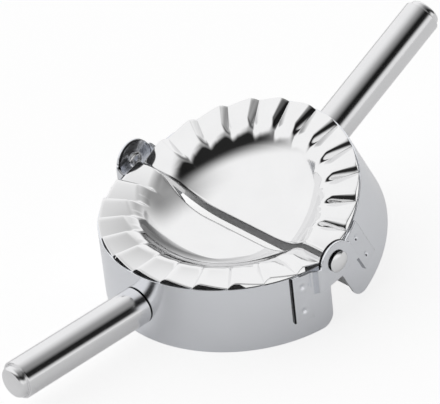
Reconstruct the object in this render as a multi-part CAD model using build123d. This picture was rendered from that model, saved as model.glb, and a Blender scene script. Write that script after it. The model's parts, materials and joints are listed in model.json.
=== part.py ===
from build123d import *
import os
from math import acos, asin, atan2, cos, degrees, radians, sin, sqrt

# Two-handled press for filled pastries, in stainless steel. Two equal halves, each a half-round
# pleated mould plate on a cutter skirt with a tube handle, turn about one riveted hinge axis.
# Millimetres. The origin is on the table, under the middle of the hinge axis. +X runs along the
# hinge axis, +Y along the handles towards the raised half, +Z up. The near half lies flat on the
# table on the -Y side, and the far half is folded up by rest_angle.

# Mould plate
rim_radius = 47.5          # outer radius of the pleated rim
plate_sheet = 0.5          # sheet of the mould plate
pleat_count = 12           # facets round one half
pleat_rise = 1.7           # height of a pleat's step at the rim
pleat_riser_width = 2.2    # length of a step along the rim
pleat_phase = 0.8          # degrees of every step past its even place; the far half's stand back
dough_gap = 0.6            # height left between the closed rims
bowl_floor_radius = 24.1   # where the bowl's floor and wall would meet without their round
bowl_top_radius = 34.9     # where the bowl's wall reaches the pleats' middle height
bowl_depth = 9.0           # floor below the pleats' middle height
bowl_corner_radius = 17.5  # round between floor and wall
lip_width = 8.7            # turned-down lip along the split line, below the bowl's own outline
lip_tab_depth = 18.5       # the lip's end tabs, below the skirt's top edge
lip_tab_width = 11.0       # the end tabs, along the hinge axis
lip_fit = 0.1              # the lip's ends clear the skirt by this
split_clearance = 0.25     # each half keeps this far from the plane of the hinge axis

# Cutter skirt
rim_setback = 0.5          # the skirt's outer wall stands this far outside the rim
skirt_wall = 0.8
skirt_height = 26.2        # top edge to cutting edge
edge_bevel = 0.3           # inside bevel of the cutting edge
skirt_corner_radius = 5.0  # round of the skirt's lower corners at the split line

# Handle
handle_diameter = 14.0
handle_wall = 0.8
handle_length = 55.6       # skirt to the tube's open end
handle_drop = 13.6         # handle's axis below the skirt's top edge
plug_clearance = 0.05      # plugs in the tube, on the radius
plug_step = 0.3            # the cap's shoulder inside the tube's bore, on the radius
plug_proud = 2.8           # end cap beyond the tube
plug_depth = 10.0          # end cap inside the tube
plug_bevel = 1.2           # bevelled edge of the end cap
boss_length = 14.0         # threaded boss in the handle's root
screw_diameter = 4.0
screw_reach = 9.0          # screw inside the boss
screw_head_radius = 3.6
screw_head_height = 2.2
screw_head_bevel = 0.7
screw_recess_radius = 1.2  # hex recess, across the corners
screw_recess_depth = 1.4
screw_hole_clearance = 0.2
thread_clearance = 0.05
washer_thickness = 0.9
washer_split = 0.8         # cut in the spring washer

# Hinge straps and rivets
strap_sheet = 0.9
strap_start = 8.0          # step of the strap, from the hinge axis along the skirt
strap_end = 16.5           # end of the welded pad, from the hinge axis
strap_top_drop = 0.2       # pad below the skirt's top edge
strap_height = 18.6        # welded pad
strap_neck_depth = 9.0     # neck's height where it leaves the pad
strap_neck_rise = 0.6      # the neck climbs by this for each millimetre that it steps outwards
strap_bend_radius = 1.2
ear_radius = 7.4
ear_standoff = 2.5         # inner ear's inside face from the skirt's outer wall
ear_gap = 0.1              # between the two ears of one hinge
weld_dimple_radius = 1.0   # pressed by the spot welder's tip
weld_dimple_depth = 0.3
weld_dimple_heights = (0.24, 0.77)   # down the pad, as shares of its height
rivet_diameter = 4.0
rivet_running_clearance = 0.05
rivet_head_radius = 4.0
rivet_head_height = 1.9
rivet_ring_radius = 3.1
rivet_ring_height = 0.8
rivet_ring_bevel = 0.4
rivet_hollow_radius = 1.4
rivet_hollow_depth = 1.6

# Pose as stored: the far half is folded up from flat by this many degrees
rest_angle = 25.44

# Worked out from the values above, with heights counted from the hinge axis
pleat_mid = -dough_gap / 2
pleat_low = pleat_mid - pleat_rise / 2
skirt_top = pleat_low - plate_sheet
skirt_bottom = skirt_top - skirt_height
hinge_height = -skirt_bottom
skirt_radius = rim_radius + rim_setback
skirt_bore = skirt_radius - skirt_wall
bowl_floor = pleat_mid - bowl_depth
bowl_slope = bowl_depth / (bowl_top_radius - bowl_floor_radius)
handle_axis = skirt_top - handle_drop
handle_radius = handle_diameter / 2
handle_bore = handle_radius - handle_wall
tube_end = skirt_radius + handle_length
plug_radius = handle_bore - plug_clearance
screw_radius = screw_diameter / 2
rivet_radius = rivet_diameter / 2
inner_ear = skirt_radius + ear_standoff
outer_ear = inner_ear + strap_sheet + ear_gap
OVERSIZE = 30.0            # how far cutting blocks reach past what they cut


def near_side():
    """Block that holds everything a half may fill: the -Y side of the hinge plane."""
    reach = tube_end + OVERSIZE
    block = Box(2 * reach, reach, 2 * reach, align=(Align.CENTER, Align.MAX, Align.CENTER))
    return Pos(0, -split_clearance, 0) * block


def plate_across(points, start, end):
    """Flat plate seen from the front: an (x, z) outline between two distances towards -Y."""
    face = make_face(Plane.XZ * Polyline(*points, close=True))
    return Pos(0, -start, 0) * extrude(face, amount=end - start, dir=(0, -1, 0))


def plate_along(points, start, end):
    """Flat plate seen from the side: a (y, z) outline between two distances towards +X."""
    face = make_face(Plane.YZ * Polyline(*points, close=True))
    return Pos(start, 0, 0) * extrude(face, amount=end - start, dir=(1, 0, 0))


def rim_points(radius, drop, phase):
    """Corners of the pleated rim, low and high in turn, at a radius and lowered by drop."""
    pitch = 180 / pleat_count
    half_step = degrees(pleat_riser_width / rim_radius / 2)
    slope = pleat_rise / (rim_radius * 2 * sin(radians(pitch / 2 - half_step)))
    first_low = 180 + pitch + phase - half_step
    last_high = 360 - pitch + phase + half_step
    start_rise = slope * rim_radius * sin(radians(first_low - 180))
    end_fall = slope * rim_radius * sin(radians(360 - last_high))
    corners = [(180, pleat_low + start_rise)]
    for step in range(1, pleat_count):
        middle = 180 + step * pitch + phase
        corners.append((middle - half_step, pleat_low))
        corners.append((middle + half_step, pleat_low + pleat_rise))
    corners.append((360, pleat_low + pleat_rise - end_fall))
    points = []
    for angle, height in corners:
        # Every facet also holds the apex on the hinge's middle, so heights grow with the radius.
        rise = (height - pleat_mid) * radius / rim_radius
        x, y = radius * cos(radians(angle)), radius * sin(radians(angle))
        points.append(Vector(x, y, pleat_mid + rise - drop))
    return points


def under_pleats(radius, drop, bottom, phase):
    """Block under the pleated surface: a fan of flat facets from the apex to the rim."""
    apex = Vector(0, 0, pleat_mid - drop)
    rim = rim_points(radius, drop, phase)
    foot = [Vector(point.X, point.Y, bottom) for point in rim]
    foot_apex = Vector(0, 0, bottom)
    faces = []
    for left, right, foot_left, foot_right in zip(rim, rim[1:], foot, foot[1:]):
        faces.append(Face(Wire.make_polygon([apex, left, right])))
        faces.append(Face(Wire.make_polygon([left, foot_left, foot_right, right])))
        faces.append(Face(Wire.make_polygon([foot_apex, foot_left, foot_right])))
    for edge, foot_edge in ((rim[0], foot[0]), (rim[-1], foot[-1])):
        faces.append(Face(Wire.make_polygon([apex, edge, foot_edge, foot_apex])))
    return Solid(Shell(faces))


def bowl_hollow(offset):
    """Space inside the bowl: flat floor, rounded corner and sloping wall, moved out by offset."""
    floor = bowl_floor - offset
    wall_out = offset * (sqrt(1 + bowl_slope ** 2) - 1) / bowl_slope
    corner = (bowl_floor_radius + wall_out, floor)
    height = OVERSIZE / 2
    top = (corner[0] + height / bowl_slope, floor + height)
    outline = Polyline((0, floor), corner, top, (0, floor + height), close=True)
    section = make_face(Plane.XZ * outline)
    bend = section.vertices().sort_by_distance((corner[0], 0, floor))[0]
    return revolve(fillet(bend, bowl_corner_radius + offset), Axis.Z)


def lip_outline():
    """Turned-down lip: its lower edge follows the bowl's outline, with a deeper tab at each end."""
    side = sqrt(skirt_bore ** 2 - (split_clearance + plate_sheet) ** 2) - lip_fit
    tab = side - lip_tab_width
    low, deep, top = bowl_floor - lip_width, skirt_top - lip_tab_depth, OVERSIZE
    rise = (tab - bowl_floor_radius) * bowl_slope
    points = [(-side, top), (-side, deep), (-tab, deep), (-tab, low + rise)]
    points.append((-bowl_floor_radius, low))
    points += [(-x, z) for x, z in reversed(points)]
    lip = plate_across(points, split_clearance, split_clearance + plate_sheet)
    for bend in (-bowl_floor_radius, bowl_floor_radius):
        edge = lip.edges().filter_by(Axis.Y).sort_by_distance((bend, -split_clearance, low))[0]
        lip = fillet(edge, bowl_corner_radius)
    return lip


def mould_plate(phase):
    """One pressed sheet: bowl, pleated rim and the lip turned down along the split line."""
    pleats = under_pleats(rim_radius + OVERSIZE, 0, skirt_bottom, phase)
    shaped = pleats - bowl_hollow(0)
    below = skirt_bottom - OVERSIZE
    beneath = under_pleats(rim_radius + 2 * OVERSIZE, plate_sheet, below, phase)
    sheet = shaped - (beneath - bowl_hollow(plate_sheet))
    disc = Cylinder(rim_radius, 4 * OVERSIZE) & near_side()
    return (sheet & disc) + (shaped & lip_outline())


def skirt_trim():
    """Block that the skirt keeps to, with its lower edge rounded at the split line."""
    reach = 2 * (skirt_radius + OVERSIZE)
    block = Pos(0, -split_clearance, skirt_bottom) * Box(
        reach, reach, reach, align=(Align.CENTER, Align.MAX, Align.MIN))
    corner = (0, -split_clearance, skirt_bottom)
    edge = block.edges().filter_by(Axis.X).sort_by_distance(corner)[0]
    return fillet(edge, skirt_corner_radius)


def skirt():
    """Half ring that cuts the dough, with an inside bevel along its edge and one screw hole."""
    outline = Polyline(
        (skirt_bore, skirt_top),
        (skirt_radius, skirt_top),
        (skirt_radius, skirt_bottom),
        (skirt_bore + edge_bevel, skirt_bottom),
        (skirt_bore, skirt_bottom + 2 * edge_bevel),
        close=True,
    )
    ring = revolve(make_face(Plane.XZ * outline), Axis.Z) & skirt_trim()
    hole = along_handle(screw_radius + screw_hole_clearance, 0, tube_end)
    return ring - hole


def along_handle(radius, start, end):
    """Cylinder on the handle's axis, between two distances from the hinge axis."""
    rod = extrude(Plane.XZ * Circle(radius), amount=end - start)
    return Pos(0, -start, handle_axis) * rod


def outside_skirt():
    """Cylinder of the skirt's outer wall, which the handle's root is cut to."""
    return Pos(0, 0, handle_axis) * Cylinder(skirt_radius, 4 * handle_diameter)


def handle_tube():
    """Handle tube, its root cut to the round of the skirt."""
    tube = along_handle(handle_radius, 0, tube_end) - along_handle(handle_bore, 0, tube_end)
    return (tube - outside_skirt()).solids().sort_by(Axis.Y)[0]


def handle_end_plug():
    """Turned cap in the tube's open end: a body in the bore and a narrower bevelled head."""
    head_radius = plug_radius - plug_step
    outline = Polyline(
        (0, -plug_depth), (plug_radius, -plug_depth), (plug_radius, 0),
        (head_radius, 0), (head_radius, plug_proud), (0, plug_proud), close=True)
    section = make_face(outline)
    edge = section.vertices().sort_by_distance((head_radius, plug_proud, 0))[0]
    plug = revolve(chamfer(edge, plug_bevel), Axis.Y)
    return Pos(0, -tube_end, handle_axis) * Rot(0, 0, 180) * plug


def handle_boss():
    """Threaded boss in the handle's root, cut to the round of the skirt."""
    end = skirt_radius + boss_length
    boss = along_handle(plug_radius, 0, end) - along_handle(screw_radius + thread_clearance, 0, end)
    return (boss - outside_skirt()).solids().sort_by(Axis.Y)[0]


def handle_screw():
    """Pan-head screw from inside the skirt into the boss, with a hex recess."""
    head_seat = skirt_bore - washer_thickness
    shank = along_handle(screw_radius, head_seat, skirt_radius + screw_reach)
    head = along_handle(screw_head_radius, head_seat - screw_head_height, head_seat)
    rim = head.edges().filter_by(GeomType.CIRCLE).sort_by(Axis.Y)[-1]
    head = chamfer(rim, screw_head_bevel)
    recess = extrude(Plane.XZ * RegularPolygon(screw_recess_radius, 6), amount=screw_recess_depth)
    recess = Pos(0, -(head_seat - screw_head_height), handle_axis) * recess
    return shank + head - recess


def spring_washer():
    """Split washer under the screw's head."""
    start = skirt_bore - washer_thickness
    ring = along_handle(screw_head_radius, start, skirt_bore)
    ring = ring - along_handle(screw_radius + screw_hole_clearance, 0, tube_end)
    inside = Pos(0, 0, handle_axis) * Cylinder(skirt_bore, 4 * handle_diameter)
    gap = Pos(0, -skirt_bore, handle_axis + screw_head_radius) * Box(
        washer_split, 4 * washer_thickness, 2 * screw_head_radius)
    return (ring & inside) - gap


def strap_section(ear_face):
    """Strap seen from above: pad round the skirt, step outwards and flat ear."""
    outer = skirt_radius + strap_sheet
    back = strap_start + strap_sheet
    ear_out = ear_face + strap_sheet

    def on_arc(radius, depth):
        return (sqrt(radius ** 2 - depth ** 2), -depth)

    def pad_arc(radius, start, end):
        middle = (start + end) / 2
        return ThreePointArc(on_arc(radius, start), on_arc(radius, middle), on_arc(radius, end))

    edges = [
        pad_arc(outer, strap_end, back),
        Line(on_arc(outer, back), (ear_out, -back)),
        Line((ear_out, -back), (ear_out, ear_radius + OVERSIZE)),
        Line((ear_out, ear_radius + OVERSIZE), (ear_face, ear_radius + OVERSIZE)),
        Line((ear_face, ear_radius + OVERSIZE), (ear_face, -strap_start)),
        Line((ear_face, -strap_start), on_arc(skirt_radius, strap_start)),
        pad_arc(skirt_radius, strap_start, strap_end),
        Line(on_arc(skirt_radius, strap_end), on_arc(outer, strap_end)),
    ]
    section = make_face(Wire(edges))
    inside_radius = max(strap_bend_radius - strap_sheet, strap_sheet / 4)
    bends = (
        ((ear_out, -back), strap_bend_radius),
        ((ear_face, -strap_start), inside_radius),
        (on_arc(outer, back), inside_radius),
    )
    for place, radius in bends:
        corner = section.vertices().sort_by_distance((place[0], place[1], 0))[0]
        section = fillet(corner, radius)
    return section


def ear_tangent(corner, side):
    """Point where a line from a corner of the neck meets the round ear, on one side."""
    distance = sqrt(corner[0] ** 2 + corner[1] ** 2)
    angle = atan2(corner[1], corner[0]) + side * acos(ear_radius / distance)
    return (ear_radius * cos(angle), ear_radius * sin(angle))


def strap_blank(ear_face):
    """Outline of the strap's sheet as three blocks: welded pad, climbing neck and round ear."""
    top = skirt_top - strap_top_drop
    low = top - strap_neck_depth
    outer = skirt_radius + strap_sheet
    back = strap_start + strap_sheet
    ear_out = ear_face + strap_sheet
    climb = strap_neck_rise * (ear_out - outer)

    pad = plate_along(
        ((-strap_end, top), (-strap_end, top - strap_height),
         (-strap_start, top - strap_height), (-strap_start, top)),
        0, outer)
    neck = plate_across(
        ((outer - strap_sheet, top), (outer, top), (ear_out, top + climb),
         (ear_out, low + climb), (outer, low), (outer - strap_sheet, low)),
        strap_start, back)
    upper, lower = (-strap_start, top + climb), (-strap_start, low + climb)
    ear = plate_along(
        ((-back, upper[1]), (-back, lower[1]), lower,
         ear_tangent(lower, 1), (0, 0), ear_tangent(upper, -1), upper),
        ear_face, ear_out)
    disc = Pos(ear_face, 0, 0) * Rot(0, 90, 0) * Cylinder(
        ear_radius, strap_sheet, align=(Align.CENTER, Align.CENTER, Align.MIN))
    return pad + neck + ear + disc


def hinge_strap(ear_face, hole_radius, side):
    """Strap of one hinge: side is 1 for the +X hinge and -1 for the -X one."""
    reach = ear_radius + strap_height + OVERSIZE
    sheet = Pos(0, 0, -reach) * extrude(strap_section(ear_face), amount=2 * reach)
    strap = sheet & strap_blank(ear_face)
    strap = strap - Pos(ear_face, 0, 0) * Rot(0, 90, 0) * Cylinder(hole_radius, OVERSIZE)
    weld_depth = (strap_start + strap_sheet + strap_end) / 2
    outer = skirt_radius + strap_sheet
    turn = degrees(weld_depth / outer)
    tip = Pos(outer, 0, 0) * Rot(0, 90, 0) * Cylinder(weld_dimple_radius, 2 * weld_dimple_depth)
    for share in weld_dimple_heights:
        height = skirt_top - strap_top_drop - share * strap_height
        strap = strap - Pos(0, 0, height) * Rot(0, 0, -turn) * tip
    return strap if side > 0 else mirror(strap, Plane.YZ)


def hinge_rivet(side):
    """Domed rivet, fast in the outer ear, with a clinched hollow ring inside the inner ear."""
    head_start = outer_ear + strap_sheet
    head_end = head_start + rivet_head_height
    ring_end = inner_ear - ear_gap
    ring_start = ring_end - rivet_ring_height
    hollow_end = ring_start + rivet_hollow_depth
    dome_radius = (rivet_head_radius ** 2 + rivet_head_height ** 2) / (2 * rivet_head_height)
    dome_angle = asin(rivet_head_radius / dome_radius) / 2
    dome_middle = (
        head_end - dome_radius * (1 - cos(dome_angle)), dome_radius * sin(dome_angle))
    straight = Polyline(
        (head_end, 0), (hollow_end, 0), (hollow_end, rivet_hollow_radius),
        (ring_start, rivet_hollow_radius), (ring_start, rivet_ring_radius),
        (ring_end, rivet_ring_radius), (ring_end, rivet_radius),
        (head_start, rivet_radius), (head_start, rivet_head_radius))
    dome = ThreePointArc((head_start, rivet_head_radius), dome_middle, (head_end, 0))
    section = make_face(straight + dome)
    ring_corner = section.vertices().sort_by_distance((ring_start, rivet_ring_radius, 0))[0]
    section = chamfer(ring_corner, rivet_ring_bevel)
    rivet = revolve(section, Axis.X)
    return rivet if side > 0 else mirror(rivet, Plane.YZ)


def half(ear_face, ear_hole, turned):
    """Sub-parts of one half on the -Y side, with straps named by their side once it is placed."""
    sides = {"right": 1, "left": -1}
    # Folded over, each step of one half then lies in a step of the other.
    phase = -pleat_phase if turned else pleat_phase
    parts = {
        "mould_plate": mould_plate(phase),
        "skirt": skirt(),
        "handle_tube": handle_tube(),
        "handle_end_plug": handle_end_plug(),
        "handle_boss": handle_boss(),
        "handle_screw": handle_screw(),
        "handle_spring_washer": spring_washer(),
    }
    for name, side in sides.items():
        own_side = -side if turned else side
        parts["hinge_strap_" + name] = hinge_strap(ear_face, ear_hole, own_side)
    return parts


def save(name, shape, place):
    """Write one sub-part, in its place, under its name."""
    export_step(place * shape, os.path.join("parts", name + ".step"))


os.makedirs("parts", exist_ok=True)

near_place = Pos(0, 0, hinge_height)
far_place = near_place * Rot(rest_angle, 0, 0) * Rot(0, 0, 180)

for part_name, part_shape in half(outer_ear, rivet_radius, turned=False).items():
    save("near_" + part_name, part_shape, near_place)
ear_bore = rivet_radius + rivet_running_clearance
for part_name, part_shape in half(inner_ear, ear_bore, turned=True).items():
    save("far_" + part_name, part_shape, far_place)
save("hinge_rivet_right", hinge_rivet(1), near_place)
save("hinge_rivet_left", hinge_rivet(-1), near_place)
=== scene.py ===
import json
import bmesh
import bpy
import numpy as np
from mathutils import Matrix


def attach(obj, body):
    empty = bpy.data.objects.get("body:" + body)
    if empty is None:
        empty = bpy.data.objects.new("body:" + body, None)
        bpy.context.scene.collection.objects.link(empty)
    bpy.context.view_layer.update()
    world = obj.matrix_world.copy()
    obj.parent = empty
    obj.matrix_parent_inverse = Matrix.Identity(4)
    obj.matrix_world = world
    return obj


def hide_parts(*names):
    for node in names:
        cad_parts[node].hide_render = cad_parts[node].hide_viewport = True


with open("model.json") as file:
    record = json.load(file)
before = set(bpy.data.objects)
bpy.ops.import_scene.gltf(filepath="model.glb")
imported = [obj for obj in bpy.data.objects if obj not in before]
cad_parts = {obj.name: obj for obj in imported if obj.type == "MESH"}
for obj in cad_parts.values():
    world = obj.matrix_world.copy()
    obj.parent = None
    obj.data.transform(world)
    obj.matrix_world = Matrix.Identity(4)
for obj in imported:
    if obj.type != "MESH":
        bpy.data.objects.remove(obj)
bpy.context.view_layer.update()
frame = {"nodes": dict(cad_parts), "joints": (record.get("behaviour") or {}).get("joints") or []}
MM = 0.001


# ---- Mould plates ----
# Each half has one plate, pressed from thin stainless sheet and then mirror polished: a shallow
# bowl, pleats fanned round it, and a lip folded down along the straight edge. The plate rests on
# its skirt and is spot welded to it, so all its own edges are soft bends of one sheet.
rim_radius = 47.5 * MM
plate_sheet = 0.5 * MM
pleat_count = 12
pleat_rise = 2.0 * MM
pleat_middle = -0.25 * MM          # middle height of the pleats, from the hinge axis
pleat_riser = 3.0 * MM             # length of a pleat's riser along the rim
pleat_steepness = 1.8              # power of its curve
pleat_phase = 0.8                  # degrees from its even place
pleat_valley_round = 0.08 * MM     # height over which a riser runs into the pleat below it
pleat_ridge_round = 0.35 * MM      # and into the pleat above it
pleat_growth = -0.84               # power of the radius by which the pleats flatten outwards
pleat_start = 28.0 * MM            # radius from which they do
pleat_soft_round = 2.2 * MM        # both rounds inside the radius pleat_soft_end
pleat_soft_end = 34.5 * MM
pleat_soft_start = 38.5 * MM       # radius inside which the rounds begin to grow to that
bowl_floor_radius = 24.1 * MM      # where floor and wall would meet without their round
bowl_top_radius = 34.9 * MM        # where the wall reaches the bowl's brim
bowl_brim = -0.3 * MM
bowl_depth = 9.0 * MM              # floor below the brim
bowl_corner_radius = 26.9 * MM     # round between floor and wall
bowl_edge_round = 2.4 * MM         # height over which bowl and pleats run into each other
split_clearance = 0.25 * MM        # from the upright plane through the hinge axis
lip_fold_radius = 1.2 * MM
lip_width = 8.7 * MM               # lip below the bowl's own outline
lip_tab_bottom = -20.15 * MM       # a tab at each end of the lip stands lower
lip_tab_width = 11.0 * MM
lip_side = 47.09 * MM              # end of the lip, from the middle
lip_corner = 0.5 * MM              # width of the step from lip to tab

merge_distance = 0.0005 * MM       # between points of a piece that are the same
sliver_length = 0.0002 * MM

hinge = frame["joints"][0]
hinge_height = hinge["pos_m"][2]
rest_angle = np.radians(-hinge["range_deg"][0])
bowl_floor = bowl_brim - bowl_depth
pleat_pitch = 180 / pleat_count    # in degrees
riser_half = np.degrees(pleat_riser / rim_radius) / 2    # half of a riser's turn, in degrees


def bowl_height(radius):
    """Height of the bowl at a radius: level floor, then a round, then a straight sloping wall.

    The round is a circle of bowl_corner_radius that touches both the floor and the wall.
    """
    slope = bowl_depth / (bowl_top_radius - bowl_floor_radius)
    tangent = bowl_corner_radius * np.tan(np.arctan(slope) / 2)
    start = bowl_floor_radius - tangent
    end = bowl_floor_radius + tangent * np.cos(np.arctan(slope))
    across = np.clip(radius - start, 0, end - start)
    rounded = bowl_corner_radius - np.sqrt(bowl_corner_radius ** 2 - across ** 2)
    wall = slope * (radius - bowl_floor_radius)
    return bowl_floor + np.where(radius > end, wall, rounded)


def run_together(first, second, height):
    """The lower of two heights, run together over a height where they are nearly equal."""
    share = np.clip(0.5 + (first - second) / (2 * height), 0, 1)
    return first + (second - first) * share - height * share * (1 - share)


def pleat_height(angle, radius):
    """Height of the fan of pleats, which is a saw-tooth of the angle.

    Each pleat falls by pleat_rise over its width and climbs back over its riser by the curve
    1 - (1 - t)^p, which is steep at the pleat below it and level at the one above. All heights
    are times (radius / rim_radius)^pleat_growth, and towards the bowl the rounds grow.
    """
    fall = pleat_rise / (pleat_pitch - 2 * riser_half)
    step = np.clip(np.round((angle - 180 - pleat_phase) / pleat_pitch), 1, pleat_count - 1)
    past = angle - (180 + pleat_phase + step * pleat_pitch)
    below = -pleat_rise / 2 - fall * (past + riser_half)
    short = np.clip(0.5 - past / (2 * riser_half), 0, None)
    riser = pleat_rise * (0.5 - short ** pleat_steepness)
    above = pleat_rise / 2 - fall * (past - riser_half)
    soft = np.clip((pleat_soft_start - radius) / (pleat_soft_start - pleat_soft_end), 0, 1)
    valley_round = pleat_valley_round + (pleat_soft_round - pleat_valley_round) * soft
    ridge_round = pleat_ridge_round + (pleat_soft_round - pleat_ridge_round) * soft
    climb = -run_together(-below, -riser, valley_round)
    tooth = run_together(climb, above, ridge_round)
    return pleat_middle + tooth * (np.maximum(radius, pleat_start) / rim_radius) ** pleat_growth


def plate_height(angle, radius):
    """Height of the plate: the lower of bowl and pleats, run together over bowl_edge_round."""
    return run_together(bowl_height(radius), pleat_height(angle, radius), bowl_edge_round)


def placed(points, half):
    """Points given from the hinge axis, for a half that lies on the -Y side, set in their place.

    The far half is turned half a turn about Z, so (x, y) becomes (-x, -y), and is then tilted
    about X by the rest angle. Both are lifted to the hinge's height.
    """
    x, y, z = points[..., 0], points[..., 1], points[..., 2]
    if half == "far":
        cos, sin = np.cos(rest_angle), np.sin(rest_angle)
        x, y, z = -x, -y * cos - z * sin, -y * sin + z * cos
    return np.stack([x, y, z + hinge_height], axis=-1)


def add_piece(name, grids, half, node, material):
    """One closed piece from grids of points, which meet along shared edges.

    Four neighbours on a grid make a face. Points that coincide are merged, what is still open is
    closed, and the faces are turned outwards. The attribute own_place keeps each point's place
    in its own half, as the materials read it on both halves.
    """
    points, faces, start = [], [], 0
    for grid in grids:
        rows, columns = grid.shape[:2]
        index = start + np.arange(rows * columns).reshape(rows, columns)
        quads = np.stack([index[:-1, :-1], index[1:, :-1], index[1:, 1:], index[:-1, 1:]], -1)
        points.append(grid.reshape(-1, 3))
        faces.append(quads.reshape(-1, 4))
        start += rows * columns
    mesh = bpy.data.meshes.new(name)
    mesh.from_pydata(np.concatenate(points), [], np.concatenate(faces))
    shape = bmesh.new()
    shape.from_mesh(mesh)
    bmesh.ops.remove_doubles(shape, verts=shape.verts, dist=merge_distance)
    bmesh.ops.dissolve_degenerate(shape, edges=shape.edges, dist=sliver_length)
    bmesh.ops.holes_fill(shape, edges=shape.edges)
    bmesh.ops.recalc_face_normals(shape, faces=shape.faces)
    shape.to_mesh(mesh)
    shape.free()
    own = np.empty(len(mesh.vertices) * 3, np.float32)
    mesh.vertices.foreach_get("co", own)
    mesh.attributes.new("own_place", "FLOAT_VECTOR", "POINT").data.foreach_set("vector", own)
    mesh.vertices.foreach_set("co", placed(own.reshape(-1, 3), half).astype(np.float32).ravel())
    mesh.polygons.foreach_set("use_smooth", np.ones(len(mesh.polygons), bool))
    mesh.materials.append(material)
    mesh.update()
    piece = bpy.data.objects.new(name, mesh)
    bpy.context.scene.collection.objects.link(piece)
    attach(piece, "far_half" if half == "far" else "near_half")
    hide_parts(node)


def plate_surface():
    """Top, rounded rim and underside of the plate, on a grid of angle against a path.

    At every angle the path runs from the fold line along the split out to the rim, round the
    rim's edge in half a circle, and back under the plate, one sheet lower. The angles crowd
    together at the pleats' edges and where the fold line runs almost along them, and the shares
    of the way out where bowl and pleats meet.
    """
    fold_line = split_clearance + lip_fold_radius
    outer = rim_radius - plate_sheet / 2
    middle = 180 + pleat_pitch * np.arange(1, pleat_count) + pleat_phase
    edges = np.concatenate([
        np.linspace(-0.3, 0.3, 5) - riser_half,
        np.linspace(-riser_half + 0.6, riser_half - 1.1, 3),
        np.linspace(-1.0, 1.0, 10) + riser_half])
    along = np.concatenate([
        np.geomspace(1.3 * fold_line, outer, 60),
        lip_side - lip_tab_width + lip_corner * np.linspace(-0.5, 0.5, 6),
        lip_side + lip_corner * np.array([-0.04, 0.04])])
    ends = np.degrees(np.arcsin(fold_line / along))
    angle = np.concatenate([
        np.arange(183, 357.5, 1.0), (middle[:, None] + edges).ravel(), 180 + ends, 360 - ends])
    angle = np.unique(angle.round(5))
    share = np.unique(np.concatenate([
        np.linspace(0, 0.38, 10), np.linspace(0.38, 0.5, 10), np.linspace(0.5, 0.62, 6),
        np.linspace(0.62, 0.9, 38), np.linspace(0.9, 1, 6)]).round(5))
    start = np.minimum(fold_line / np.abs(np.sin(np.radians(angle))), outer)
    radius = start[:, None] + (outer - start)[:, None] * share
    height = plate_height(np.broadcast_to(angle[:, None], radius.shape), radius)
    under = np.concatenate([np.arange(0, share.size - 1, 2), [share.size - 1]])[::-1]
    turn = np.linspace(np.pi / 2, -np.pi / 2, 7)[1:-1]
    edge_radius = np.broadcast_to(outer + plate_sheet / 2 * np.cos(turn), (angle.size, 5))
    edge_height = height[:, -1:] - plate_sheet / 2 * (1 - np.sin(turn))
    radius = np.concatenate([radius, edge_radius, radius[:, under]], axis=1)
    height = np.concatenate([height, edge_height, height[:, under] - plate_sheet], axis=1)
    turns = np.radians(angle)[:, None]
    return np.stack([radius * np.cos(turns), radius * np.sin(turns), height], axis=-1)


def plate_lip(fold):
    """Fold and lip along the split, on a grid of places along the split against a path.

    The path leaves the top on the fold line, turns down by a quarter circle, runs down the lip's
    face, round its lower edge, up its back and by a smaller quarter circle to the underside. The
    lower edge follows the bowl's outline and steps down to the tabs by the curve 3t^2 - 2t^3, and
    past the lip's side there is only the fold.
    """
    x, top = fold[:, 0], fold[:, 2]
    centre = (top - lip_fold_radius)[:, None]
    step = np.clip((np.abs(x) - (lip_side - lip_tab_width)) / lip_corner + 0.5, 0, 1)
    edge = bowl_height(np.abs(x)) - lip_width
    edge = edge + (lip_tab_bottom - edge) * (3 * step ** 2 - 2 * step ** 3)
    edge = np.where(np.abs(x) > lip_side, centre[:, 0] - plate_sheet, edge)[:, None]
    edge = edge + plate_sheet / 2
    bend = np.linspace(0, np.pi / 2, 7)
    round_edge = np.linspace(0, np.pi, 6)[1:-1]
    down = np.linspace(0, 1, 9)[1:]
    inner = lip_fold_radius - plate_sheet
    path_z = np.concatenate([
        centre + lip_fold_radius * np.cos(bend),
        centre + (edge - centre) * down,
        edge - plate_sheet / 2 * np.sin(round_edge),
        edge + (centre - edge) * np.concatenate([[0], down]),
        centre + inner * np.sin(bend[1:])], axis=1)
    face = -split_clearance
    fold_line = face - lip_fold_radius
    path_y = np.concatenate([
        fold_line + lip_fold_radius * np.sin(bend),
        np.full(down.size, face),
        face - plate_sheet / 2 * (1 - np.cos(round_edge)),
        np.full(down.size + 1, face - plate_sheet),
        fold_line + inner * np.cos(bend[1:])])
    path_x = np.broadcast_to(x[:, None], path_z.shape)
    return np.stack([path_x, np.broadcast_to(path_y, path_z.shape), path_z], axis=-1)


def math_node(tree, operation, *values):
    """Result of a Math node on values, which are numbers or sockets of the same tree."""
    node = tree.nodes.new("ShaderNodeMath")
    node.operation = operation
    for socket, value in zip(node.inputs, values):
        if isinstance(value, bpy.types.NodeSocket):
            tree.links.new(value, socket)
        else:
            socket.default_value = value
    return node.outputs[0]


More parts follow.
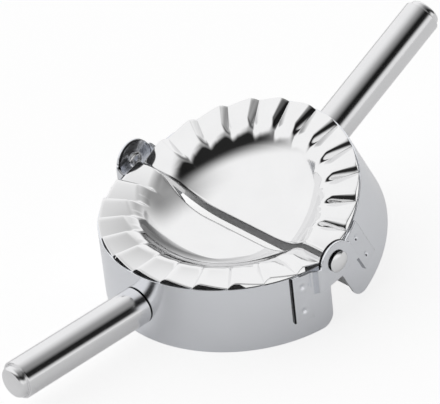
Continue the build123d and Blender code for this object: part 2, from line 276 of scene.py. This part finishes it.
def steel_marks():
    """Node group of what polishing and use leave on steel, at a place on the piece.

    Grain is noise stretched along the polishing, and Smears is broad soft noise. Roughness is
    the given roughness times 1 + spread (grain + smears - 1). Height is the grain plus slow
    waves of the sheet.
    """
    group = bpy.data.node_groups.new("steel_marks", "ShaderNodeTree")
    for label, kind in (
            ("Place", "NodeSocketVector"), ("Grain Scale", "NodeSocketVector"),
            ("Smear Scale", "NodeSocketFloat"), ("Wave Height", "NodeSocketFloat"),
            ("Roughness", "NodeSocketFloat"), ("Spread", "NodeSocketFloat")):
        group.interface.new_socket(label, in_out="INPUT", socket_type=kind)
    for label in ("Smears", "Roughness", "Height"):
        group.interface.new_socket(label, in_out="OUTPUT", socket_type="NodeSocketFloat")
    nodes, links = group.nodes, group.links
    given = nodes.new("NodeGroupInput")
    result = nodes.new("NodeGroupOutput")

    stretch = nodes.new("ShaderNodeVectorMath")
    stretch.operation = "MULTIPLY"
    links.new(given.outputs["Place"], stretch.inputs[0])
    links.new(given.outputs["Grain Scale"], stretch.inputs[1])

    def noise(place, scale, detail):
        node = nodes.new("ShaderNodeTexNoise")
        node.inputs["Detail"].default_value = detail
        links.new(place, node.inputs["Vector"])
        if isinstance(scale, float):
            node.inputs["Scale"].default_value = scale
        else:
            links.new(scale, node.inputs["Scale"])
        return node.outputs["Fac"]

    grain = noise(stretch.outputs[0], 1.0, 3.0)
    smears = noise(given.outputs["Place"], given.outputs["Smear Scale"], 4.0)
    waves = noise(given.outputs["Place"], wave_scale, 0.0)
    both = math_node(group, "SUBTRACT", math_node(group, "ADD", grain, smears), 1.0)
    spread = math_node(group, "MULTIPLY", both, given.outputs["Spread"])
    rough = math_node(group, "MULTIPLY_ADD", spread, given.outputs["Roughness"],
                      given.outputs["Roughness"])
    height = math_node(group, "MULTIPLY_ADD", waves, given.outputs["Wave Height"], grain)
    links.new(smears, result.inputs["Smears"])
    links.new(rough, result.inputs["Roughness"])
    links.new(height, result.inputs["Height"])
    return group


def steel(name, colour, shade, roughness, spread, grain_scale, grain_depth,
          smear_scale=90.0, wave_height=6.0, own_place=True, painted_shade_bands=()):
    """Material of bare stainless steel: colour fades to colour times shade where it is smeared.

    Each band given is (shares, length, half width). Shade is painted in a near black where the
    place, times a share for each axis, is that long to within the half width: painted shadow in
    a gap or along an edge.
    """
    material = bpy.data.materials.new(name)
    material.use_nodes = True
    nodes, links = material.node_tree.nodes, material.node_tree.links
    shader = nodes["Principled BSDF"]
    shader.inputs["Metallic"].default_value = 1.0
    if own_place:
        place = nodes.new("ShaderNodeAttribute")
        place.attribute_name = "own_place"
        place = place.outputs["Vector"]
    else:
        place = nodes.new("ShaderNodeTexCoord").outputs["Object"]
    marks = nodes.new("ShaderNodeGroup")
    marks.node_tree = steel_marks_group
    links.new(place, marks.inputs["Place"])
    marks.inputs["Grain Scale"].default_value = grain_scale
    marks.inputs["Smear Scale"].default_value = smear_scale
    marks.inputs["Wave Height"].default_value = wave_height
    marks.inputs["Roughness"].default_value = roughness
    marks.inputs["Spread"].default_value = spread
    tint = nodes.new("ShaderNodeMix")
    tint.data_type = "RGBA"
    tint.inputs["A"].default_value = (*colour, 1)
    tint.inputs["B"].default_value = (*(shade * channel for channel in colour), 1)
    links.new(marks.outputs["Smears"], tint.inputs["Factor"])
    skin = tint.outputs["Result"]
    # Painted shade: each band mixes the near black into the colour, for the shadow in a gap.
    for shares, length, half_width in painted_shade_bands:
        weigh = nodes.new("ShaderNodeVectorMath")
        weigh.operation = "MULTIPLY"
        links.new(place, weigh.inputs[0])
        weigh.inputs[1].default_value = shares
        away = nodes.new("ShaderNodeVectorMath")
        away.operation = "LENGTH"
        links.new(weigh.outputs[0], away.inputs[0])
        mask = math_node(material.node_tree, "COMPARE", away.outputs["Value"], length, half_width)
        painted_shade = nodes.new("ShaderNodeMix")
        painted_shade.data_type = "RGBA"
        links.new(mask, painted_shade.inputs["Factor"])
        links.new(skin, painted_shade.inputs["A"])
        painted_shade.inputs["B"].default_value = (*painted_shade_colour, 1)
        skin = painted_shade.outputs["Result"]
    links.new(skin, shader.inputs["Base Color"])
    links.new(marks.outputs["Roughness"], shader.inputs["Roughness"])
    bump = nodes.new("ShaderNodeBump")
    bump.inputs["Distance"].default_value = grain_depth
    links.new(marks.outputs["Height"], bump.inputs["Height"])
    links.new(bump.outputs["Normal"], shader.inputs["Normal"])
    return material


wave_scale = 42.0                  # waves of the sheet for each metre
# colour of the painted shade in gaps and along edges
painted_shade_colour = (0.02, 0.02, 0.022)
steel_marks_group = steel_marks()
plate_steel = steel(
    "mirror_polished_steel", (0.90, 0.90, 0.905), 0.93, 0.07, 0.6,
    grain_scale=(900, 900, 900), grain_depth=0.0006 * MM, wave_height=8.0)
surface = plate_surface()
for half in ("near", "far"):
    add_piece(half + "_plate", [surface, plate_lip(surface[:, 0])], half,
              half + "_mould_plate", plate_steel)


# ---- Skirts ----
# A strip of stainless sheet, rolled to half a ring, carries each plate and cuts the dough with
# its lower edge, which is bevelled on the inside. Its finish is a rolled, buffed one, with a fine
# grain round the ring, and its lower corners at the split are rounded off.
skirt_radius = 48.0 * MM
skirt_wall = 0.8 * MM
skirt_top = -1.65 * MM
skirt_bottom = -hinge_height
skirt_corner_radius = 5.0 * MM
skirt_edge_round = 0.16 * MM
cutting_bevel = 0.3 * MM
cutting_edge_round = 0.05 * MM


def rounded_outline(corners, rounds):
    """Closed outline with soft corners, and a point on the straight to each side of each one.

    From a, which lies the corner's round before it, to c, as far after it, the curve round the
    corner b is (1 - t)^2 a + 2 t (1 - t) b + t^2 c, with t from 0 to 1.
    """
    corners = np.asarray(corners, float)
    rounds = np.broadcast_to(np.asarray(rounds, float), len(corners))[:, None]
    before = np.roll(corners, 1, axis=0) - corners
    after = np.roll(corners, -1, axis=0) - corners
    before = before / np.linalg.norm(before, axis=1, keepdims=True) * rounds
    after = after / np.linalg.norm(after, axis=1, keepdims=True) * rounds
    t = np.linspace(0, 1, 6)[:, None, None]
    curve = (1 - t) ** 2 * (corners + before) + 2 * t * (1 - t) * corners
    curve = curve + t ** 2 * (corners + after)
    reach = 1.8                    # how far off the corner those points lie, in its rounds
    path = np.concatenate([
        (corners + reach * before)[None], curve, (corners + reach * after)[None]])
    path = path.transpose(1, 0, 2).reshape(-1, 2)
    return np.concatenate([path, path[:1]])


def skirt_surface():
    """Half ring on a grid of angle against its section.

    With a the distance from the end along the ring and r a round, the lower edge is lifted by
    r - sqrt(r^2 - (r - a)^2) inside r of the end, and the wall is thinned by the same formula
    with the edge's round.
    """
    middle = skirt_radius - skirt_wall / 2
    bore = skirt_radius - skirt_wall
    section = rounded_outline(
        ((skirt_radius, skirt_top), (skirt_radius, skirt_bottom),
         (bore + cutting_bevel, skirt_bottom), (bore, skirt_bottom + 2 * cutting_bevel),
         (bore, skirt_top)),
        (skirt_edge_round, skirt_edge_round, cutting_edge_round, cutting_edge_round,
         skirt_edge_round))
    turn = np.linspace(0, np.pi / 2, 13)
    ends = np.concatenate([
        skirt_edge_round * (1 - np.cos(turn[::3])), skirt_corner_radius * (1 - np.cos(turn[1:]))])
    ends = np.degrees(np.arcsin((split_clearance + ends) / skirt_radius))
    angle = np.concatenate([180 + ends, np.linspace(180 + ends.max(), 360 - ends.max(), 160),
                            360 - ends])
    angle = np.radians(np.unique(angle.round(6)))
    along = np.abs(skirt_radius * np.sin(angle)) - split_clearance

    def round_off(radius):
        inside = np.clip(radius - along, 0, radius)
        return (radius - np.sqrt(radius ** 2 - inside ** 2))[:, None]

    thin = 1 - 2 * round_off(skirt_edge_round) / skirt_wall
    radius = middle + (section[:, 0] - middle) * thin
    short = 1 - round_off(skirt_corner_radius) / (skirt_top - skirt_bottom)
    height = skirt_top + (section[:, 1] - skirt_top) * short
    x, y = radius * np.cos(angle)[:, None], radius * np.sin(angle)[:, None]
    return np.stack([x, y, height], axis=-1)


skirt_steel = steel(
    "buffed_sheet_steel", (0.85, 0.865, 0.90), 0.94, 0.16, 0.5,
    grain_scale=(60, 60, 5000), grain_depth=0.0012 * MM, smear_scale=55.0, wave_height=4.0)
for half in ("near", "far"):
    add_piece(half + "_cutter_skirt", [skirt_surface()], half,
              half + "_skirt", skirt_steel)


# ---- Hinge straps ----
# Two straps of bent sheet hold each half to the hinge: a pad that is spot welded to the skirt's
# outside, with the welder's two marks in it, a neck that steps outwards, and a round ear. The
# near half's ears lie outside the far half's.
strap_sheet = 0.9 * MM
strap_start = 7.7 * MM             # the neck, from the hinge axis along the skirt
strap_end = 16.5 * MM              # end of the pad, counted the same way
strap_top = skirt_top - 0.2 * MM
strap_height = 18.6 * MM
neck_height = 9.0 * MM
neck_rise = 0.6                    # climb of the neck for each unit outwards
strap_bend = 1.05 * MM
strap_edge_round = 0.14 * MM
ear_radius = 7.4 * MM
ear_standoff = 2.5 * MM            # inner ear's inside face from the skirt
ear_gap = 0.1 * MM                 # between the two ears of a hinge
inner_ear = skirt_radius + ear_standoff
outer_ear = inner_ear + strap_sheet + ear_gap
weld_radius = 1.45 * MM
weld_depth = 0.5 * MM
weld_heights = (0.24, 0.77)        # down the pad, as shares of its height
weld_ring_height = 0.18            # of the ring raised round a weld mark, as a share of its depth
weld_ring_radius = 1.25            # and this and its width as shares of weld_radius
weld_ring_width = 0.3
pad_shade_width = 0.45 * MM          # width of the painted shade along the near pads' sheared ends
ear_shade_depth = 0.12 * MM          # depth of the painted shade round the far ears' edges


def strap_path(ear_face):
    """Middle of the sheet seen from above, with its outward direction.

    An arc round the skirt, a straight neck outwards and a straight ear along the skirt's side,
    joined by the same soft corner curves as a rounded outline's.
    """
    radius = skirt_radius + strap_sheet / 2
    neck = -(strap_start + strap_sheet / 2)
    ear = ear_face + strap_sheet / 2
    foot = np.sqrt(radius ** 2 - neck ** 2)
    y = np.linspace(-strap_end, neck - strap_bend, 34)
    arc = np.stack([np.sqrt(radius ** 2 - y ** 2), y], axis=-1)
    t = np.linspace(0, 1, 9)[1:-1, None]

    def corner(a, b, c):
        a, b, c = np.array(a), np.array(b), np.array(c)
        return (1 - t) ** 2 * a + 2 * t * (1 - t) * b + t ** 2 * c

    first = corner(arc[-1], (foot, neck), (foot + strap_bend, neck))
    neck_x = np.linspace(foot + strap_bend, ear - strap_bend, 6)
    straight = np.stack([neck_x, np.full(6, neck)], axis=-1)
    second = corner(straight[-1], (ear, neck), (ear, neck + strap_bend))
    tip = (1 - np.cos(np.linspace(0, np.pi, 60))) / 2
    y = neck + strap_bend + (ear_radius - neck - strap_bend) * tip
    flat = np.stack([np.full(60, ear), y], axis=-1)
    path = np.concatenate([arc, first, straight, second, flat])
    along = np.gradient(path, axis=0)
    along = along / np.linalg.norm(along, axis=1, keepdims=True)
    return path, np.stack([along[:, 1], -along[:, 0]], axis=-1)


def ear_edge(y, corner_height, side):
    """Height of the ear's edge at y: a tangent from the neck's corner to the circle, then it."""
    distance = np.hypot(strap_start, corner_height)
    turn = np.arctan2(corner_height, -strap_start) + side * np.arccos(ear_radius / distance)
    touch = ear_radius * np.array([np.cos(turn), np.sin(turn)])
    tangent = np.interp(y, [-strap_start, touch[0]], [corner_height, touch[1]])
    circle = -side * np.sqrt(np.clip(ear_radius ** 2 - y ** 2, 0, None))
    return np.where(y < touch[0], tangent, circle)


def strap_surface(ear_face, side):
    """Strap on a grid of its path against a closed section through the sheet.

    The section is a rounded rectangle, as high as the strap is at that place. With r the
    distance from a weld mark's middle as a share of its radius, the mark sinks the outside by
    weld_depth ((1 + cos(pi r)) / 2 - h exp(-((r - R) / w)^2)), where h, R and w are its ring's.
    """
    path, outward = strap_path(ear_face)
    x, y = path[:, 0], path[:, 1]
    outer = skirt_radius + strap_sheet / 2
    climb = neck_rise * np.clip(x - outer, 0, None) * (y > -strap_start - strap_sheet)
    full = neck_rise * (ear_face + strap_sheet / 2 - outer)
    on_pad = y < -strap_start - strap_sheet / 2 - 0.6 * strap_bend     # to within its bend
    on_ear = y > -strap_start + strap_bend / 4
    top = np.where(on_ear, ear_edge(y, strap_top + full, -1), strap_top + climb)
    low = np.where(on_pad, strap_top - strap_height, strap_top - neck_height + climb)
    low = np.where(on_ear, ear_edge(y, strap_top - neck_height + full, 1), low)
    share = np.linspace(0, 1, 81)
    edge = np.linspace(0, 1, 5)
    side_shift = np.sin(edge * np.pi / 2)
    round_size = np.minimum(strap_edge_round, (top - low) / 2)[:, None]
    outside = low[:, None] + round_size + (top - low - 2 * round_size[:, 0])[:, None] * share
    lift = round_size * (1 - np.cos(edge * np.pi / 2))
    half_sheet = strap_sheet / 2
    height = np.concatenate([
        outside,
        top[:, None] - round_size + round_size * side_shift,
        top[:, None] - lift,
        outside[:, ::-4],
        low[:, None] + round_size - round_size * side_shift,
        low[:, None] + lift], axis=1)
    drop = strap_edge_round * (1 - np.cos(edge * np.pi / 2))
    rise = strap_edge_round * (1 - side_shift)
    thick = np.concatenate([
        np.full(share.size, half_sheet), half_sheet - drop, -half_sheet + rise,
        np.full(outside[:, ::-4].shape[1], -half_sheet), -half_sheet + drop, half_sheet - rise])
    thick = np.broadcast_to(thick, height.shape).copy()
    weld_y = -(strap_start + strap_sheet + strap_end) / 2
    for weld in weld_heights:
        away = np.hypot(y[:, None] - weld_y, height - (strap_top - weld * strap_height))
        pit = np.where(away < weld_radius, (1 + np.cos(np.pi * away / weld_radius)) / 2, 0)
        off_ring = (away - weld_ring_radius * weld_radius) / (weld_ring_width * weld_radius)
        ring = weld_ring_height * np.exp(-off_ring ** 2)
        thick -= weld_depth * (pit - ring) * (thick > half_sheet * 0.99)
    place = path[:, None] + outward[:, None] * thick[..., None]
    strap = np.concatenate([place, height[..., None]], axis=-1)
    strap[..., 0] *= side
    return np.concatenate([strap, strap[:, :1]], axis=1)


# Painted shade: a dark band at the near pads' ends, for the shadow in the gap at each end.
pad_shade = ((0, 1, 0), strap_end, pad_shade_width)
# Painted shade: a dark ring round the far ears' edges, for the shadow between the two ears.
ear_shade = ((0, 1, 1), ear_radius, ear_shade_depth)
for half, ear_face, painted_shade in (("near", outer_ear, (pad_shade,)),
                             ("far", inner_ear, (ear_shade,))):
    strap_steel = steel(
        half + "_rolled_strap_steel", (0.84, 0.855, 0.89), 0.92, 0.2, 0.5,
        grain_scale=(60, 60, 4200), grain_depth=0.0015 * MM, smear_scale=120.0,
        wave_height=3.0, painted_shade_bands=painted_shade)
    for hand, side in (("right", 1), ("left", -1)):
        own_side = -side if half == "far" else side
        add_piece(f"{half}_strap_{hand}", [strap_surface(ear_face, own_side)], half,
                  f"{half}_hinge_strap_{hand}", strap_steel)


# ---- Hinge rivets ----
# One turned rivet runs through both ears of each hinge. Its smooth dome sits outside, and its
# hollow end is spread over the inner ear into a ring, which leaves the ears free to turn.
rivet_head_radius = 4.0 * MM
rivet_head_height = 1.2 * MM       # of the dome, above its collar
rivet_collar_radius = 3.5 * MM
rivet_collar_height = 0.7 * MM
rivet_rim = 0.05 * MM              # thickness of the dome's rim
rivet_ring_radius = 3.1 * MM
rivet_ring_height = 0.8 * MM
rivet_ring_gap = 0.1 * MM          # between the ring and the inner ear
rivet_hollow_radius = 1.4 * MM
rivet_hollow_depth = 1.6 * MM
rivet_hollow_bevel = 0.3 * MM
rivet_shank_radius = 2.0 * MM


def turned(outline, steps=72):
    """Outline of (distance along an axis, radius), turned round that axis: the second and third
    coordinates are radius times cos t and sin t, with t once round."""
    t = np.linspace(0, 2 * np.pi, steps + 1)
    along = np.broadcast_to(outline[:, :1], (len(outline), t.size))
    radius = outline[:, 1:]
    return np.stack([along, radius * np.cos(t), radius * np.sin(t)], axis=-1)


def rivet_outline():
    """Half outline from the dome's top to the hollow's floor.

    The dome is a circle through the head's rim and its top, and stands on a narrower collar. The
    ring is a rounded bead, and its inside runs down into the hollow.
    """
    seat = outer_ear + strap_sheet
    rim = seat + rivet_collar_height
    dome_radius = (rivet_head_radius ** 2 + rivet_head_height ** 2) / (2 * rivet_head_height)
    turn = np.linspace(0, np.arcsin(rivet_head_radius / dome_radius), 16)
    top = rim + rivet_head_height
    dome = np.stack([top - dome_radius * (1 - np.cos(turn)), dome_radius * np.sin(turn)], -1)
    ring_end = inner_ear - rivet_ring_gap
    ring_start = ring_end - rivet_ring_height
    bead = np.linspace(0, np.pi, 14)
    bead_width = (rivet_ring_radius - rivet_hollow_radius) / 2
    bead_middle = (rivet_ring_radius + rivet_hollow_radius) / 2
    ring = np.stack([ring_end - rivet_ring_height * np.sin(bead),
                     bead_middle + bead_width * np.cos(bead)], -1)
    hollow = ring_start + rivet_hollow_depth
    ends = np.array([
        (rim - rivet_rim, rivet_collar_radius), (seat, rivet_collar_radius),
        (seat, rivet_shank_radius), (ring_end, rivet_shank_radius)])
    floor = np.array([
        (hollow - rivet_hollow_bevel, rivet_hollow_radius),
        (hollow, rivet_hollow_radius - rivet_hollow_bevel), (hollow, 0)])
    return np.concatenate([dome, ends, ring, floor])


# Painted shade: the collar under the dome is painted near black, for the shadow in the gap under
# the head.
rivet_steel = steel(
    "bright_rivet_steel", (0.93, 0.93, 0.935), 0.95, 0.12, 0.5,
    grain_scale=(700, 700, 700), grain_depth=0.0008 * MM, smear_scale=200.0, wave_height=2.0,
    painted_shade_bands=[((1, 0, 0), outer_ear + strap_sheet, rivet_collar_height)])
for hand, side in (("right", 1), ("left", -1)):
    rivet = turned(rivet_outline())
    rivet[..., 0] *= side
    add_piece(f"rivet_{hand}", [rivet], "near", f"hinge_rivet_{hand}", rivet_steel)


# ---- Handle tubes ----
# A length of thin-walled stainless tube on each half. Its root is cut to the round of the skirt
# and drawn tight against it by the screw inside, and it was polished lengthwise.
handle_radius = 7.0 * MM
handle_wall = 0.8 * MM
handle_drop = 13.6 * MM            # axis below the skirt's top edge
handle_length = 55.6 * MM          # skirt to the open end
handle_edge_round = 0.25 * MM
root_shade_width = 0.45 * MM              # width of the painted shade ring along the tube's root
handle_axis = skirt_top - handle_drop
tube_end = skirt_radius + handle_length


def tube_surface():
    """Tube on a grid of its section lengthwise against the turn round its axis.

    At x = r cos t the root lies on the skirt, at y = -sqrt(R^2 - x^2). Points of the section are
    counted from the root or from the open end, as their share says.
    """
    bore = handle_radius - handle_wall
    edge = handle_edge_round
    turn = np.linspace(0, np.pi / 2, 6)
    cos, sin = edge * np.cos(turn), edge * np.sin(turn)
    share = np.concatenate([np.zeros(7), np.ones(14), np.zeros(7)])
    offset = np.concatenate([
        edge - cos, [2 * edge], [-2 * edge], sin - edge, -edge + cos, [-2 * edge],
        [2 * edge], (edge - cos)[::-1]])
    radius = np.concatenate([
        handle_radius - edge + sin, [handle_radius], [handle_radius], handle_radius - edge + cos,
        bore + edge - sin, [bore], [bore], (bore + edge - sin)[::-1]])
    t = np.linspace(0, 2 * np.pi, 129)
    x = radius[:, None] * np.cos(t)
    root = np.sqrt(skirt_radius ** 2 - x ** 2)
    y = -(root + (tube_end - root) * share[:, None] + offset[:, None])
    z = handle_axis + radius[:, None] * np.sin(t)
    tube = np.stack([x, y, z], axis=-1)
    return np.concatenate([tube, tube[:1]])


# Painted shade: a near black ring where the tube meets the skirt, for the shadow in the joint.
handle_steel = steel(
    "polished_tube_steel", (0.84, 0.84, 0.85), 0.93, 0.13, 0.5,
    grain_scale=(2600, 14, 2600), grain_depth=0.0015 * MM, smear_scale=70.0, wave_height=2.0,
    painted_shade_bands=[((1, 1, 0), skirt_radius, root_shade_width)])
for half in ("near", "far"):
    add_piece(half + "_tube", [tube_surface()], half, half + "_handle_tube", handle_steel)


# ---- Handle end plugs ----
# A solid turned cap closes each tube. Its body is pressed into the bore, and its head stands out
# with a rounded edge and a face that is slightly crowned.
plug_head_radius = 5.85 * MM
plug_body_radius = 6.15 * MM
plug_proud = 2.8 * MM
plug_depth = 10.0 * MM
plug_round = 1.5 * MM
plug_crown = 0.15 * MM
plug_shoulder_bevel = 0.1 * MM     # at the tube's mouth
plug_foot_bevel = 0.3 * MM         # at the body's inner end
plug_root_round = 0.02 * MM        # where the head meets the shoulder


def plug_outline():
    """Half outline from the middle of the head's face to the middle of the body's end.

    The face falls from its middle by plug_crown times the square of the share of its radius,
    and a quarter circle leads to the side.
    """
    flat = plug_head_radius - plug_round
    share = np.linspace(0, 1, 9)
    face = np.stack([plug_proud - plug_crown * share ** 2, flat * share], -1)
    turn = np.linspace(0, np.pi / 2, 10)[1:]
    side = plug_proud - plug_crown - plug_round
    corner = np.stack([side + plug_round * np.cos(turn), flat + plug_round * np.sin(turn)], -1)
    body = np.array([
        (plug_shoulder_bevel, plug_head_radius), (0, plug_head_radius + plug_root_round),
        (0, plug_body_radius - plug_shoulder_bevel), (-plug_shoulder_bevel, plug_body_radius),
        (-plug_depth + plug_foot_bevel, plug_body_radius),
        (-plug_depth, plug_body_radius - plug_foot_bevel), (-plug_depth, 0)])
    return np.concatenate([face, corner, body])


plug_steel = steel(
    "turned_plug_steel", (0.88, 0.88, 0.89), 0.92, 0.2, 0.5,
    grain_scale=(900, 900, 900), grain_depth=0.001 * MM, smear_scale=150.0, wave_height=1.0)
for half in ("near", "far"):
    along, across, up = np.moveaxis(turned(plug_outline(), 96), -1, 0)
    plug = np.stack([across, -(tube_end + along), handle_axis + up], axis=-1)
    add_piece(half + "_plug", [plug], half, half + "_handle_end_plug", plug_steel)


# ---- Handle fastenings ----
# A threaded boss in the tube's root takes a pan-head screw from inside the skirt, which a split
# spring washer keeps from working loose. They are bought parts with a plain bright finish.
fastener_steel = steel(
    "plain_bright_steel", (0.66, 0.66, 0.67), 0.85, 0.25, 0.5,
    grain_scale=(800, 800, 800), grain_depth=0.002 * MM, own_place=False)
for half in ("near", "far"):
    for part in ("handle_boss", "handle_screw", "handle_spring_washer"):
        materials = frame["nodes"][f"{half}_{part}"].data.materials
        materials.clear()
        materials.append(fastener_steel)


# ---- Floor, light and camera ----
# A plain pale table top under a tent of soft light, which is open towards +X. It glows to the eye
# all over but under the near half, and in the metal all over but under both halves, so that the
# glow left out there is painted shadow under the press. From below it can't be seen.
floor_half = 3.0                   # half of the table top's side
floor_shade = 0.30                 # colour of the table top to the eye
floor_glow = 0.82                  # and its glow on top of that
paper_shade = 0.80                 # colour of the table top in the metal
mirrored_glow = 0.22               # and its glow there
# Each area of light is its middle (turn from +X towards +Y, height above the table), the two
# angles from its middle between which it fades out, all in degrees, and the light inside.
room = (344, -45), 95, 118, 0.02
screen = (25, 66), 0, 58, 0.12
flag = (81, 35), 0, 33, 0.35
ceiling = (150, 64), 3, 24, 0.82
foreground = (344, -45), 64, 80, 0.9    # lit table in front of the dark room
mesh = bpy.data.meshes.new("table_top")
mesh.from_pydata(
    [(-floor_half, -floor_half, 0), (floor_half, -floor_half, 0),
     (floor_half, floor_half, 0), (-floor_half, floor_half, 0)], [], [(0, 1, 2, 3)])
floor = bpy.data.objects.new("table_top", mesh)
bpy.context.scene.collection.objects.link(floor)
paper = bpy.data.materials.new("white_paper")
paper.use_nodes = True
nodes, links = paper.node_tree.nodes, paper.node_tree.links
nodes.clear()
path = nodes.new("ShaderNodeLightPath")
seen = path.outputs["Is Camera Ray"]
mirrored = math_node(paper.node_tree, "MAXIMUM", path.outputs["Is Glossy Ray"],
                     path.outputs["Is Transmission Ray"])
spot = nodes.new("ShaderNodeTexCoord").outputs["Object"]
away = nodes.new("ShaderNodeVectorMath")
away.operation = "LENGTH"
links.new(spot, away.inputs[0])
split = nodes.new("ShaderNodeSeparateXYZ")
links.new(spot, split.inputs[0])
# Painted shadow: the glow is left out inside the skirts' ring, under the near half to the eye and
# under both halves in the metal.
outside = math_node(paper.node_tree, "GREATER_THAN", away.outputs["Value"],
                    skirt_radius - skirt_wall)
behind = math_node(paper.node_tree, "GREATER_THAN", split.outputs["Y"],
                   -split_clearance - skirt_corner_radius)
lit = math_node(paper.node_tree, "MAXIMUM", outside, behind)
white = math_node(paper.node_tree, "MULTIPLY", seen, floor_glow)
white = math_node(paper.node_tree, "MULTIPLY", white, lit)
mirrored_white = math_node(paper.node_tree, "MULTIPLY", mirrored, mirrored_glow)
white = math_node(paper.node_tree, "MULTIPLY_ADD", mirrored_white, outside, white)
shade = math_node(paper.node_tree, "MULTIPLY_ADD", seen, floor_shade - paper_shade, paper_shade)
diffuse = nodes.new("ShaderNodeBsdfDiffuse")
links.new(shade, diffuse.inputs["Color"])
glow = nodes.new("ShaderNodeEmission")
links.new(white, glow.inputs["Strength"])
both = nodes.new("ShaderNodeAddShader")
links.new(diffuse.outputs[0], both.inputs[0])
links.new(glow.outputs[0], both.inputs[1])
from_below = nodes.new("ShaderNodeMixShader")
links.new(nodes.new("ShaderNodeNewGeometry").outputs["Backfacing"], from_below.inputs[0])
links.new(both.outputs[0], from_below.inputs[1])
links.new(nodes.new("ShaderNodeBsdfTransparent").outputs[0], from_below.inputs[2])
links.new(from_below.outputs[0], nodes.new("ShaderNodeOutputMaterial").inputs["Surface"])
mesh.materials.append(paper)

world = bpy.data.worlds.new("light_tent")
world.use_nodes = True
bpy.context.scene.world = world
tree = world.node_tree
direction = tree.nodes.new("ShaderNodeTexCoord").outputs["Generated"]


def soft_edge(value, low, high, first, last):
    """First below low, last above high, and 3t^2 - 2t^3 between them."""
    node = tree.nodes.new("ShaderNodeMapRange")
    node.interpolation_type = "SMOOTHSTEP"
    tree.links.new(value, node.inputs["Value"])
    for label, number in (("From Min", low), ("From Max", high), ("To Min", first),
                          ("To Max", last)):
        node.inputs[label].default_value = number
    return node.outputs["Result"]


def round_area(middle, inner, outer, light, beyond=1.0):
    """Light inside a round area and beyond it, by the angle of a direction from its middle."""
    turn, height = np.radians(middle)
    towards = tree.nodes.new("ShaderNodeVectorMath")
    towards.operation = "DOT_PRODUCT"
    towards.inputs[1].default_value = (
        np.cos(height) * np.cos(turn), np.cos(height) * np.sin(turn), np.sin(height))
    tree.links.new(direction, towards.inputs[0])
    away = math_node(tree, "ARCCOSINE", towards.outputs["Value"])
    return soft_edge(away, np.radians(inner), np.radians(outer), light, beyond)


light = math_node(tree, "MULTIPLY", round_area(*room), round_area(*screen))
light = math_node(tree, "MULTIPLY", light, round_area(*flag))
light = math_node(tree, "MULTIPLY", light, round_area(*ceiling))
light = math_node(tree, "MAXIMUM", light, round_area(*foreground, beyond=0.0))
camera_ray = tree.nodes.new("ShaderNodeLightPath").outputs["Is Camera Ray"]
light = math_node(tree, "MAXIMUM", light, camera_ray)
tree.links.new(light, tree.nodes["Background"].inputs["Strength"])
tree.nodes["Background"].inputs["Color"].default_value = (1, 1, 1, 1)

view_azimuth = np.radians(49.87)   # from straight in front, towards +X
view_height = np.radians(33.68)
view_roll = np.radians(-6.59)
view_distance = 1.264
view_shift = (0.00428, -0.00202)   # of the hinge's middle from the centre of view
view_lens = 293.5
level_right = np.array([np.cos(view_azimuth), np.sin(view_azimuth), 0])
back = np.array([np.sin(view_azimuth) * np.cos(view_height),
                 -np.cos(view_azimuth) * np.cos(view_height), np.sin(view_height)])
level_up = np.cross(back, level_right)
right = np.cos(view_roll) * level_right + np.sin(view_roll) * level_up
up = np.cross(back, right)
place = np.array([0, 0, hinge_height]) + back * view_distance
place = place - right * view_shift[0] - up * view_shift[1]
camera_data = bpy.data.cameras.new("camera")
camera_data.lens = view_lens
camera = bpy.data.objects.new("camera", camera_data)
turn = np.eye(4)
turn[:3, 0], turn[:3, 1], turn[:3, 2], turn[:3, 3] = right, up, back, place
camera.matrix_world = Matrix(turn.tolist())
bpy.context.scene.collection.objects.link(camera)
bpy.context.scene.camera = camera
bpy.context.scene.view_settings.view_transform = "Standard"
